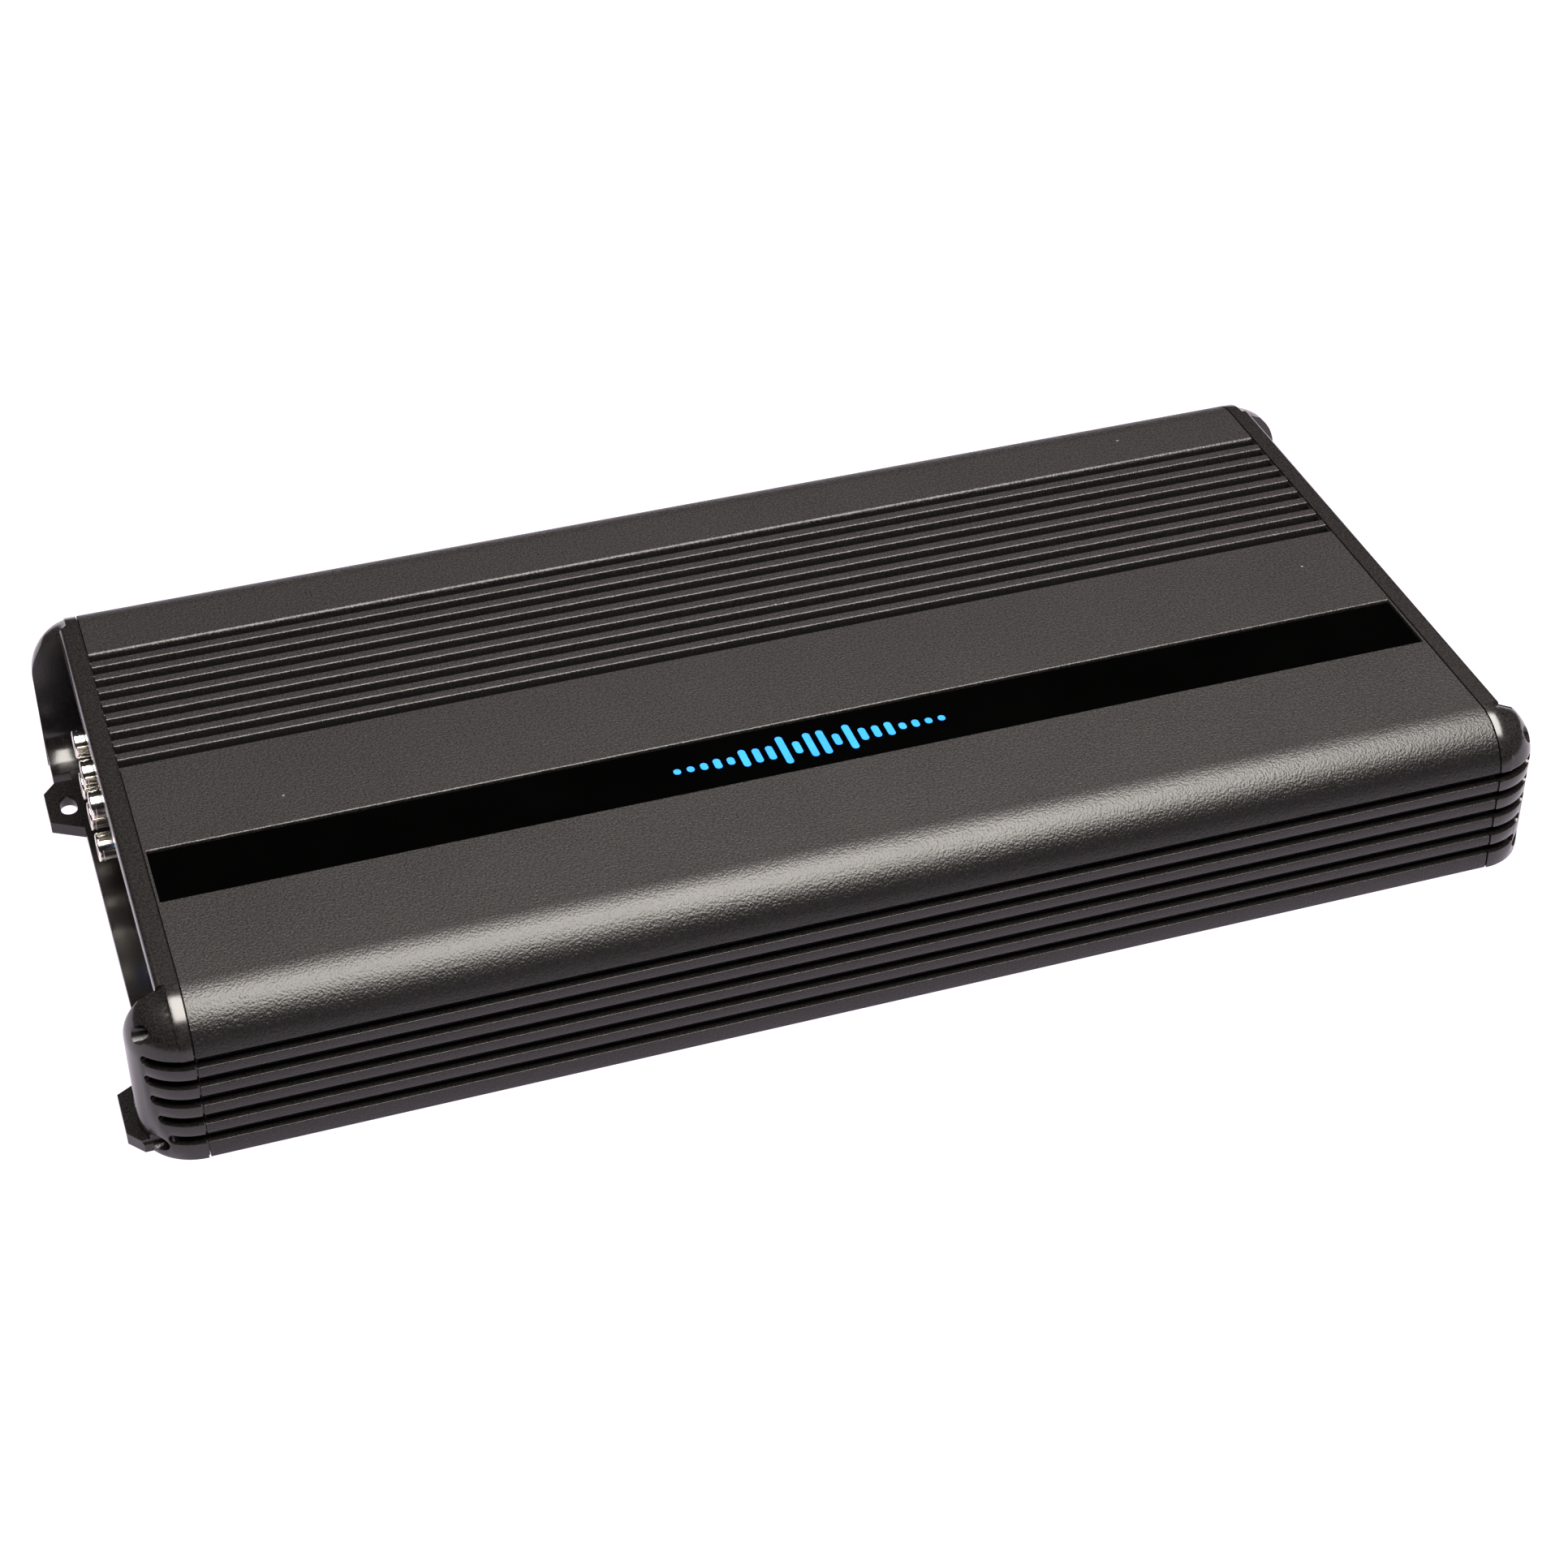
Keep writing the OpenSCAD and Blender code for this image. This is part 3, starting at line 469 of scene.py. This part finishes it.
def powder_coat(name, colour, roughness, grain, depth, speck, bands=None, **sockets):
    """Fine textured paint: two sizes of grain, fine mottling, rare pale specks and, if bands are given,
    painted shade darkened by height.
    """
    material, shader = new_surface(name, roughness, **sockets)
    fine = noise(material, grain, 2)
    dark, light = lighter(colour, 1 - COAT_MOTTLE), lighter(colour, 1 + COAT_MOTTLE)
    base = ramp(material, fine, [(0.3, dark), (0.7, light)])
    # Painted shade: the colour is darkened by height where bands are given.
    if bands:
        base = painted_shade_by_height(material, base, bands)
    tree = material.node_tree
    blend = tree.nodes.new("ShaderNodeMix")
    blend.data_type = "RGBA"
    tree.links.new(speck_mask(material, SPECK_SPACING, SPECK_SHARE), blend.inputs[MIX_FACTOR])
    tree.links.new(base, blend.inputs[MIX_FIRST])
    blend.inputs[MIX_SECOND].default_value = (speck, speck, speck, 1)
    tree.links.new(blend.outputs[MIX_RESULT], shader.inputs["Base Color"])
    vary_roughness(material, shader, noise(material, 30, 3), roughness * 0.95, roughness * 1.05)
    coarse = add_bump(material, shader, noise(material, grain * 2, 1), depth * COARSE_GRAIN_DEPTH)
    add_bump(material, shader, fine, depth, coarse)
    return material


def lit_guide():
    """Edge-lit acrylic: blue, and a little uneven."""
    material, shader = new_surface("lit_blue", 0.25)
    tree = material.node_tree
    shader.inputs["Base Color"].default_value = (0.01, 0.08, 0.3, 1)
    glow = ramp(material, noise(material, 6, 1), [(0.3, (0.010, 0.26, 0.95)), (0.7, (0.02, 0.36, 1.0))])
    tree.links.new(glow, shader.inputs["Emission Color"])
    shader.inputs["Emission Strength"].default_value = 1.0
    return material


def solder_mask():
    """Green board with faint copper tracks under the mask."""
    material, shader = new_surface("board_green", 0.35)
    tree = material.node_tree
    tracks = tree.nodes.new("ShaderNodeTexBrick")
    tracks.inputs["Scale"].default_value = 120
    tracks.inputs["Mortar Size"].default_value = 0.03
    tracks.inputs["Color1"].default_value = (0.008, 0.05, 0.022, 1)
    tracks.inputs["Color2"].default_value = (0.010, 0.06, 0.026, 1)
    tracks.inputs["Mortar"].default_value = (0.02, 0.11, 0.045, 1)
    tree.links.new(place(material), tracks.inputs["Vector"])
    tree.links.new(tracks.outputs["Color"], shader.inputs["Base Color"])
    add_bump(material, shader, tracks.outputs["Fac"], 0.02)
    return material


def wound_wire():
    """Enamelled copper wire lying in close turns."""
    material, shader = new_surface("copper", 0.28, 1.0)
    tree = material.node_tree
    turns = tree.nodes.new("ShaderNodeTexWave")
    turns.inputs["Scale"].default_value = 260
    turns.inputs["Distortion"].default_value = 0.6
    tree.links.new(place(material), turns.inputs["Vector"])
    dark, light = (0.25, 0.06, 0.015), (0.62, 0.20, 0.06)
    vary_colour(material, shader, turns.outputs["Fac"], dark, light, 0.1, 0.9)
    add_bump(material, shader, turns.outputs["Fac"], 0.3)
    return material


def clear_plastic(name, colour, transmission):
    """Tinted moulded plastic that lets some light through."""
    material, shader = new_surface(name, 0.18, Transmission_Weight=transmission)
    vary_colour(material, shader, noise(material, 4, 2), lighter(colour, 0.85), lighter(colour, 1.1))
    add_bump(material, shader, noise(material, 1.5, 2), 0.01)
    return material


# The photo's front darkens in bands that the lights here don't give, so the paint is darkened instead.
COAT_PAINTED_SHADE_BANDS = ((0, 0.7), (33, 0.6), (38, 0.25), (45.5, 0.25), (47.2, 1.0))

MATERIALS = {
    "heatsink_coat": powder_coat("heatsink_coat", (0.0100, 0.0090, 0.0092), 0.36, 0.65, 0.17, 0.10,
                                 bands=COAT_PAINTED_SHADE_BANDS, IOR=1.40),
    "plate_coat": powder_coat("plate_coat", (0.0080, 0.0076, 0.0076), 0.42, 0.7, 0.10, 0.05, IOR=1.42),
    "cap_coat": powder_coat("cap_coat", (0.0070, 0.0064, 0.0064), 0.20, 0.6, 0.010, 0.02, IOR=1.48),
    "panel_gloss": grained("panel_gloss", (0.010, 0.010, 0.011), 0.16, 0.6, 0.002),
    "strip_gloss": grained("strip_gloss", (0.0003, 0.0003, 0.0003), 0.05, 3.0, 0.001,
                           Specular_IOR_Level=0.0, IOR=1.05),
    "lit_blue": lit_guide(),
    "red_lens": clear_plastic("red_lens", (0.45, 0.015, 0.015), 0.4),
    "led_white": grained("led_white", (0.80, 0.76, 0.55), 0.4, 0.4, 0.01),
    "board_green": solder_mask(),
    "black_steel": grained("black_steel", (0.03, 0.03, 0.032), 0.32, 0.3, 0.004, metallic=0.6),
    "zinc": grained("zinc", (0.55, 0.56, 0.57), 0.30, 0.4, 0.005, metallic=1.0),
    "nickel": grained("nickel", (0.72, 0.69, 0.64), 0.14, 0.5, 0.002, metallic=1.0),
    "brass": grained("brass", (0.75, 0.53, 0.22), 0.24, 0.4, 0.003, metallic=1.0),
    "aluminium": grained("aluminium", (0.62, 0.63, 0.65), 0.34, 0.3, 0.006, metallic=1.0),
    "black_moulding": grained("black_moulding", (0.014, 0.014, 0.015), 0.42, 0.35, 0.008),
    "white_moulding": grained("white_moulding", (0.72, 0.71, 0.68), 0.45, 0.4, 0.006),
    "blue_moulding": grained("blue_moulding", (0.03, 0.10, 0.36), 0.42, 0.4, 0.006),
    "knob_plastic": grained("knob_plastic", (0.035, 0.035, 0.038), 0.40, 0.3, 0.008),
    "fuse_plastic": clear_plastic("fuse_plastic", (0.85, 0.22, 0.02), 0.35),
    "ferrite": grained("ferrite", (0.05, 0.13, 0.07), 0.5, 0.4, 0.02),
    "copper": wound_wire(),
    "capacitor_sleeve": grained("capacitor_sleeve", (0.012, 0.016, 0.03), 0.30, 0.6, 0.004),
    "epoxy_black": grained("epoxy_black", (0.02, 0.02, 0.021), 0.55, 0.2, 0.01),
    "thermal_pad": grained("thermal_pad", (0.45, 0.42, 0.36), 0.6, 0.5, 0.01),
}


def coat(piece, slot):
    """Gives a piece its slot's material and nothing else."""
    piece.data.materials.clear()
    piece.data.materials.append(MATERIALS[slot])


# ---------------------------------------------------------------------------
# Pieces
# ---------------------------------------------------------------------------


def soften(piece, width, harden):
    """Rounds a CAD node's sharp edges a little, without touching its own mesh."""
    weld = piece.modifiers.new("weld", "WELD")
    weld.merge_threshold = WELD_DISTANCE * MM
    bevel = piece.modifiers.new("soft_edges", "BEVEL")
    bevel.width = width * MM
    bevel.segments = BEVEL_SEGMENTS
    bevel.limit_method = "ANGLE"
    bevel.angle_limit = math.radians(BEVEL_ANGLE)
    bevel.harden_normals = harden


def add_print(bm, y, z, width, height, turn=0.0):
    """One printed bar on the input panel, turned by that angle in degrees from upright."""
    shape = Matrix.Diagonal((PRINT_T, width, height, 1))
    spin = Matrix.Rotation(math.radians(turn), 4, "X")
    at = Matrix.Translation((PANEL_FACE - PRINT_T / 2, y, z))
    bmesh.ops.create_cube(bm, size=1, matrix=at @ spin @ shape)


def panel_marks_mesh():
    """Plain printed scales: ticks round each knob and two dots above each switch."""
    bm = bmesh.new()
    for knob in KNOBS:
        low, high = (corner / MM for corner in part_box(knob))
        y, z = (low.y + high.y) / 2, (low.z + high.z) / 2
        reach = (high.y - low.y) / 2 + TICK_GAP
        for tick in range(TICKS):
            angle = 2 * KNOB_TURN * tick / (TICKS - 1) - KNOB_TURN
            length = LONG_TICK if tick in LONG_TICKS else SHORT_TICK
            along = Vector((math.sin(math.radians(angle)), math.cos(math.radians(angle))))
            add_print(bm, y + reach * along.x, z + reach * along.y, PRINT_W, length, -angle)
    for slider in SLIDERS:
        low, high = (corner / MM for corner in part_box(slider))
        y, top = (low.y + high.y) / 2, high.z + DOT_GAP
        for side in (-1, 1):
            add_print(bm, y + SWITCH_STEP * side, top, DOT_W, DOT_W)
    return finish_mesh("panel_marks", bm)


def jack_profile(root, face, tip):
    """Half of a jack's section: points are (distance out from the panel, radius)."""
    ring_start, ring_in, ring_out, ring_end = (tip - back for back in JACK_RING_FROM_TIP)
    profile = [
        (root, JACK_BORE_R),
        (root, JACK_NECK_R),
        (face, JACK_NECK_R),
        (face, JACK_FLANGE_R),
        (face + JACK_FLANGE_T, JACK_FLANGE_R),
        (face + JACK_FLANGE_T, JACK_R),
        (ring_start, JACK_R),
        (ring_in, JACK_R - JACK_RING_D),
        (ring_out, JACK_R - JACK_RING_D),
        (ring_end, JACK_R),
    ]
    for step in range(JACK_LIP_STEPS + 1):
        angle = math.pi * step / JACK_LIP_STEPS
        out = tip - JACK_LIP_R + JACK_LIP_R * math.sin(angle)
        profile.append((out, JACK_R - JACK_LIP_R * (1 - math.cos(angle))))
    return profile + [(tip - JACK_LIP_R - JACK_LIP_IN, JACK_BORE_R)]


def add_jack(bm, profile, y, z):
    """One turned barrel on that axis."""
    rings = []
    for side in range(JACK_SIDES):
        angle = 2 * math.pi * side / JACK_SIDES
        rings.append([
            bm.verts.new((-out, y + radius * math.cos(angle), z + radius * math.sin(angle)))
            for out, radius in profile
        ])
    for side in range(JACK_SIDES):
        ring, following = rings[side], rings[(side + 1) % JACK_SIDES]
        for k in range(len(profile)):
            beyond = (k + 1) % len(profile)
            bm.faces.new((ring[k], ring[beyond], following[beyond], following[k]))


def rca_jacks_mesh():
    """Six turned barrels with a rolled lip, standing on a flange at the panel."""
    low, high = (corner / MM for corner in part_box("rca_shells"))
    columns = (low.y + JACK_FLANGE_R, (low.y + high.y) / 2, high.y - JACK_FLANGE_R)
    rows = (low.z + JACK_FLANGE_R, high.z - JACK_FLANGE_R)
    profile = jack_profile(root=-high.x, face=JACK_FLANGE_GAP - PANEL_FACE, tip=-low.x)
    bm = bmesh.new()
    for y in columns:
        for z in rows:
            add_jack(bm, profile, y, z)
    return finish_mesh("rca_jacks", bm, JACK_SMOOTH_ANGLE)


SOFT_EDGES = {
    "left_end_cap": 0.35,
    "right_end_cap": 0.35,
    "bottom_plate": 0.2,
    "input_panel": 0.15,
    "output_panel": 0.15,
    "display_strip": 0.1,
    "power_block": 0.3,
    "speaker_block": 0.3,
    "power_clamps": 0.1,
    "speaker_clamps": 0.1,
    "fuse_holder": 0.3,
    "left_fuse": 0.3,
    "right_fuse": 0.3,
    "remote_port": 0.2,
    "front_filter_slider": 0.12,
    "rear_filter_slider": 0.12,
    "input_mode_slider": 0.12,
    "preamp_connector": 0.15,
    "potentiometers": 0.2,
    "driver_chips": 0.1,
}

heatsink_case = new_piece("heatsink_case", heatsink_mesh())
flat_faces = heatsink_case.modifiers.new("flat_faces", "WEIGHTED_NORMAL")
flat_faces.keep_sharp = True
coat(heatsink_case, "heatsink_coat")
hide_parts("heatsink")

for part in frame["record"]["subparts"]:
    coat(frame["nodes"][part["node"]], part["material_slot"])

for node, width in SOFT_EDGES.items():
    soften(frame["nodes"][node], width, harden=not node.endswith("end_cap"))

rca_jacks = new_piece("rca_jacks", rca_jacks_mesh())
coat(rca_jacks, "nickel")
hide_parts("rca_shells")

panel_marks = new_piece("panel_marks", panel_marks_mesh())
coat(panel_marks, "white_moulding")

# ---------------------------------------------------------------------------
# Studio
# ---------------------------------------------------------------------------

CAMERA_AT = Vector((-0.2303, -0.71415, 0.5840))
CAMERA_TURN = 18.24
CAMERA_DOWN = 37.72
CAMERA_ROLL = -0.33
LENS = 73.376
SENSOR_W = 36
FLOOR_SIZE = 1.36
FLOOR_GLOW = 1.09


def look(turn, down):
    """Direction of view: turned right from +Y and tilted down, in degrees."""
    level = math.cos(math.radians(down))
    return Vector((
        math.sin(math.radians(turn)) * level,
        math.cos(math.radians(turn)) * level,
        -math.sin(math.radians(down)),
    ))


def add_camera():
    """The camera at the photo's angle."""
    data = bpy.data.cameras.new("camera")
    data.lens = LENS
    data.sensor_width = SENSOR_W
    camera = bpy.data.objects.new("camera", data)
    bpy.context.scene.collection.objects.link(camera)
    roll = Quaternion((0, 0, 1), math.radians(CAMERA_ROLL))
    camera.rotation_mode = "QUATERNION"
    camera.rotation_quaternion = look(CAMERA_TURN, CAMERA_DOWN).to_track_quat("-Z", "Y") @ roll
    camera.location = CAMERA_AT
    bpy.context.scene.camera = camera


def add_softbox(name, at, target, size_x, size_y, radiance, colour):
    """A soft rectangular light of that radiance, aimed at the target."""
    data = bpy.data.lights.new(name, "AREA")
    data.shape = "RECTANGLE"
    data.size = size_x
    data.size_y = size_y
    data.energy = radiance * math.pi * size_x * size_y
    data.color = colour
    light = bpy.data.objects.new(name, data)
    light.location = at
    light.rotation_euler = (Vector(target) - Vector(at)).to_track_quat("-Z", "Y").to_euler()
    bpy.context.scene.collection.objects.link(light)


def add_floor():
    """A faintly reflecting floor that glows, so that the object stands on even white."""
    bpy.ops.mesh.primitive_grid_add(x_subdivisions=2, y_subdivisions=2, size=FLOOR_SIZE)
    floor = bpy.context.object
    floor.name = "floor"
    material, shader = new_surface("floor_white", 0.9)
    vary_colour(material, shader, noise(material, 400, 1), (0.03, 0.028, 0.031), (0.032, 0.03, 0.033))
    shader.inputs["Emission Color"].default_value = (1.0, 0.90, 1.02, 1)
    shader.inputs["Emission Strength"].default_value = FLOOR_GLOW
    floor.data.materials.append(material)


def add_world():
    """Dark studio round the object, with a pale backdrop that only the camera sees."""
    world = bpy.data.worlds.new("studio")
    world.use_nodes = True
    bpy.context.scene.world = world
    tree = world.node_tree
    backdrop = tree.nodes["Background"]
    backdrop.inputs["Color"].default_value = (1, 1, 1, 1)
    dark = tree.nodes.new("ShaderNodeBackground")
    dark.inputs["Color"].default_value = (0.02, 0.02, 0.02, 1)
    rays = tree.nodes.new("ShaderNodeLightPath")
    mix = tree.nodes.new("ShaderNodeMixShader")
    tree.links.new(rays.outputs["Is Camera Ray"], mix.inputs["Fac"])
    tree.links.new(dark.outputs["Background"], mix.inputs[1])
    tree.links.new(backdrop.outputs["Background"], mix.inputs[2])
    tree.links.new(mix.outputs["Shader"], tree.nodes["World Output"].inputs["Surface"])


add_camera()
add_softbox("overhead", at=(0.16, -0.31, 1.2), target=(0.16, -0.31, 0), size_x=1.30, size_y=1.12,
            radiance=21.5, colour=(1.0, 0.945, 0.885))
add_softbox("back", at=(0.36, 0.90, 1.01), target=(0.02, -0.07, 0.05), size_x=0.85, size_y=0.34,
            radiance=0.9, colour=(1.0, 0.97, 0.97))
add_floor()
add_world()
bpy.context.scene.view_settings.view_transform = "Standard"
